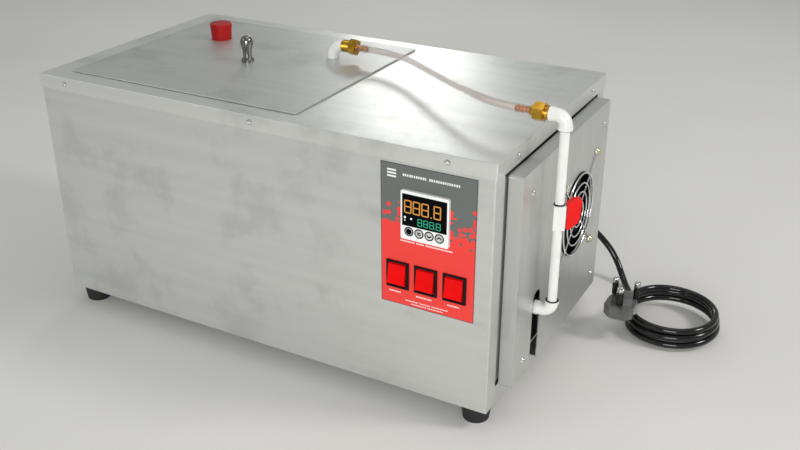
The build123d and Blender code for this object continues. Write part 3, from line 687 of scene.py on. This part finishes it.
def key_trim():
    """The dark ring round each key, on the bezel."""
    shape = bmesh.new()
    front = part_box("controller_bezel")[0].y
    for low, high in KEY_BOXES:
        middle = (low + high) / 2
        base = facing(Vector((middle.x, front, middle.z)), (0, -1, 0))
        ring = [(3.85, -0.2), (3.85, 0.25), (4.1, 0.38), (4.6, 0.38), (4.85, 0.2), (4.85, -0.2)]
        lathe(shape, [(r * MM, h * MM) for r, h in ring], base, steps=36)
    piece("key_rings", from_bmesh("key_rings", shape), black_plastic, "cabinet")


key_trim()

MARK_DEPTH = 0.08


def key_mark(number, kind):
    """The dark sign on a key's face: a filled disc, two bars, or an arrow down or up."""
    low, high = KEY_BOXES[number - 1]
    middle = cabinet_mm((low + high) / 2)
    front = cabinet_mm(low).y
    shape = bmesh.new()
    if kind == "disc":
        base = facing(place(middle.x, front + 0.02, middle.z), (0, -1, 0))
        disc = [(0.05, 0), (3.05, 0), (3.05, 0.1), (0.05, 0.1)]
        lathe(shape, [(r * MM, h * MM) for r, h in disc], base)
    if kind in ("down", "up"):
        side = 1 if kind == "up" else -1
        for end in (-2.3, 2.3):
            point = (middle.x, middle.z + 1.4 * side)
            bar(shape, point, (middle.x + end, middle.z - 0.7 * side), front, 1.3, MARK_DEPTH)
    if kind == "bars":
        for lift in (0.9, -0.9):
            z = middle.z + lift
            bar(shape, (middle.x - 1.9, z), (middle.x + 1.9, z), front, 1.2, MARK_DEPTH)
    name = f"key_{number}_mark"
    piece(name, from_bmesh(name, shape, False), window_black, f"key_{number}")


for number, kind in enumerate(("disc", "bars", "down", "up"), start=1):
    key_mark(number, kind)

LABEL_Y = cabinet_mm(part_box("control_label")[0]).y


# Rows of plain blocks: left, right, mid height, block height, and where the gaps fall as shares.
LABEL_ROWS = [
    (455.5, 516.5, 238.2, 2.4, (0.44,)),
    (453.0, 509.0, 170.2, 1.5, (0.27, 0.45)),
    (441.0, 455.0, 112.6, 1.5, ()),
    (470.5, 489.0, 112.6, 1.5, ()),
    (504.0, 517.0, 112.6, 1.5, ()),
    (459.0, 506.0, 105.6, 1.1, (0.3, 0.6)),
    (465.0, 500.0, 102.7, 1.1, (0.5,)),
]
INK_DEPTH = 0.05


def printed_bars():
    """Blocks where the real label carries words, and three plain bars where its mark is."""
    shape = bmesh.new()
    for left, right, z, height, spaces in LABEL_ROWS:
        step = height * 0.95
        count = int((right - left) / step)
        blanks = {round(share * count) for share in spaces}
        for i in range(count):
            if i not in blanks:
                start = left + i * step
                narrow = 0.62 if i % 3 else 0.74
                bar(shape, (start, z), (start + step * narrow, z), LABEL_Y, height, INK_DEPTH)
    for row in range(3):
        z = 234.6 + 3.2 * row
        bar(shape, (439.0, z), (448.5, z), LABEL_Y, 1.7, INK_DEPTH)
    mesh = from_bmesh("label_bars", shape, False)
    piece("label_bars", mesh, white_ink, "cabinet")


def label_edge():
    """The thin dark line round the label."""
    low, high = [cabinet_mm(corner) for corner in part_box("control_label")]
    shape = bmesh.new()
    width, depth = 0.6, 0.04
    for z in (low.z + width / 2, high.z - width / 2):
        bar(shape, (low.x, z), (high.x, z), LABEL_Y, width, depth)
    for x in (low.x + width / 2, high.x - width / 2):
        bar(shape, (x, low.z + width), (x, high.z - width), LABEL_Y, width, depth)
    mesh = from_bmesh("label_edge", shape, False)
    piece("label_edge", mesh, edge_ink, "cabinet")


printed_bars()
label_edge()


# ---------------------------------------------------------------- valve, riser and plug details
RISER_AXIS = (581, 80.5)


def painted_shade_ring(name, z, profile):
    """A black ring round the riser, standing in for painted shade at a fitting's edge; its lower
    face is at the height z.
    """
    shape = bmesh.new()
    lathe(shape, [(r * MM, h * MM) for r, h in profile], facing(place(*RISER_AXIS, z), (0, 0, 1)))
    piece(name, from_bmesh(name, shape), black_rubber, "cabinet")


# Painted shade: a black ring where the pipe enters the valve body, standing in for the shade in
# that groove.
SOCKET_SHADE_RING = [(4.76, 0.0), (5.6, 0.3), (5.6, 1.2), (4.76, 1.5)]
# Painted shade: thin black rings at the elbows' collars, where the collars' shadow lines fall.
COLLAR_SHADE_LINE = [(4.76, 0.0), (6.7, 0.0), (6.9, 0.25), (6.7, 0.5), (4.76, 0.5)]
painted_shade_ring("valve_socket_shade", 202.9, SOCKET_SHADE_RING)
painted_shade_ring("upper_collar_shade_line", 278.0, COLLAR_SHADE_LINE)
painted_shade_ring("lower_collar_shade_line", 98.5, COLLAR_SHADE_LINE)


BACK_PIN_R = 3.5
FRONT_PIN_R = 4.0
PIN_LENGTH = 21.0


def pin_tips():
    """The bare metal end of each dark pin: two alike at the back, and a thicker one in front."""
    low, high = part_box("plug_pins")
    shape = bmesh.new()
    back_y = high.y - BACK_PIN_R * MM
    pins = [(low.x + BACK_PIN_R * MM, back_y, BACK_PIN_R),
            (high.x - BACK_PIN_R * MM, back_y, BACK_PIN_R),
            ((low.x + high.x) / 2, low.y + FRONT_PIN_R * MM, FRONT_PIN_R)]
    for x, y, radius in pins:
        base = facing(Vector((x, y, low.z + PIN_LENGTH * MM)), (0, 0, 1))
        cap = [(0.02, 0.12), (radius - 1.3, 0.12), (radius - 0.25, -0.35), (radius + 0.1, -1.2),
               (radius + 0.1, -6.0), (0.02, -6.0)]
        lathe(shape, [(r * MM, h * MM) for r, h in cap], base, steps=32)
    piece("pin_tips", from_bmesh("pin_tips", shape), chrome, "cabinet")


pin_tips()

# ---------------------------------------------------------------- floor, light and camera
FLOOR_HALF = 6.0


def floor():
    """A plain pale floor, 12 m square and level with the feet."""
    shape = bmesh.new()
    signs = [(-1, -1), (1, -1), (1, 1), (-1, 1)]
    corners = [(FLOOR_HALF * x, FLOOR_HALF * y, 0.0) for x, y in signs]
    shape.faces.new([shape.verts.new(corner) for corner in corners])
    mesh = from_bmesh("floor", shape, False)
    obj = bpy.data.objects.new("floor", mesh)
    bpy.context.scene.collection.objects.link(obj)
    paint = Paint("floor_paint", (0.74, 0.73, 0.71), 0.7)
    stops = [(0.3, (0.72, 0.71, 0.69)), (0.7, (0.77, 0.76, 0.74))]
    paint.colour(paint.ramp(paint.noise(2.0, 3.0), stops))
    wear(obj, paint.material)


def area_light(name, at, target, size, power, tone=(1.0, 1.0, 1.0)):
    """A soft rectangular light at one point, facing another; metres and watts."""
    data = bpy.data.lights.new(name, "AREA")
    data.shape = "RECTANGLE"
    data.size, data.size_y = size
    data.energy = power
    data.color = tone
    obj = bpy.data.objects.new(name, data)
    bpy.context.scene.collection.objects.link(obj)
    obj.location = at
    obj.rotation_mode = "QUATERNION"
    obj.rotation_quaternion = (Vector(target) - Vector(at)).to_track_quat("-Z", "Y")


def world(colour, strength):
    made = bpy.data.worlds.new("studio")
    made.use_nodes = True
    background = made.node_tree.nodes["Background"]
    background.inputs["Color"].default_value = (*colour, 1.0)
    background.inputs["Strength"].default_value = strength
    bpy.context.scene.world = made


def camera():
    """The photograph's own view, solved from the cabinet's edges."""
    data = bpy.data.cameras.new("camera")
    data.lens = 45.035
    data.sensor_width = 36.0
    data.clip_start = 0.01
    obj = bpy.data.objects.new("camera", data)
    bpy.context.scene.collection.objects.link(obj)
    obj.location = (0.5582, -0.8939, 0.6221)
    obj.rotation_euler = tuple(math.radians(turn) for turn in (63.896, -0.009, 28.480))
    bpy.context.scene.camera = obj


floor()
world((0.84, 0.86, 0.84), 0.44)
area_light("front_low", (0.8, -1.8, 0.62), (0.22, -0.15, 0.10), (1.0, 0.8), 18.5)
area_light("front_left", (-1.6, -1.7, 1.8), (0.0, 0.0, 0.15), (1.2, 1.2), 6.0)
area_light("right_rear", (1.9, 0.5, 1.7), (0.1, 0.0, 0.15), (0.5, 0.5), 18.0, (1.0, 0.98, 0.95))
area_light("top_sheen", (-0.77, 1.64, 0.92), (0.05, 0.0, 0.28), (0.34, 0.26), 2.0)
area_light("overhead", (0.2, 0.5, 2.2), (0.1, 0.0, 0.1), (1.6, 1.0), 5.0)
camera()
# The photograph's tones are saturated and bright, which the Standard transform keeps.
bpy.context.scene.view_settings.view_transform = "Standard"
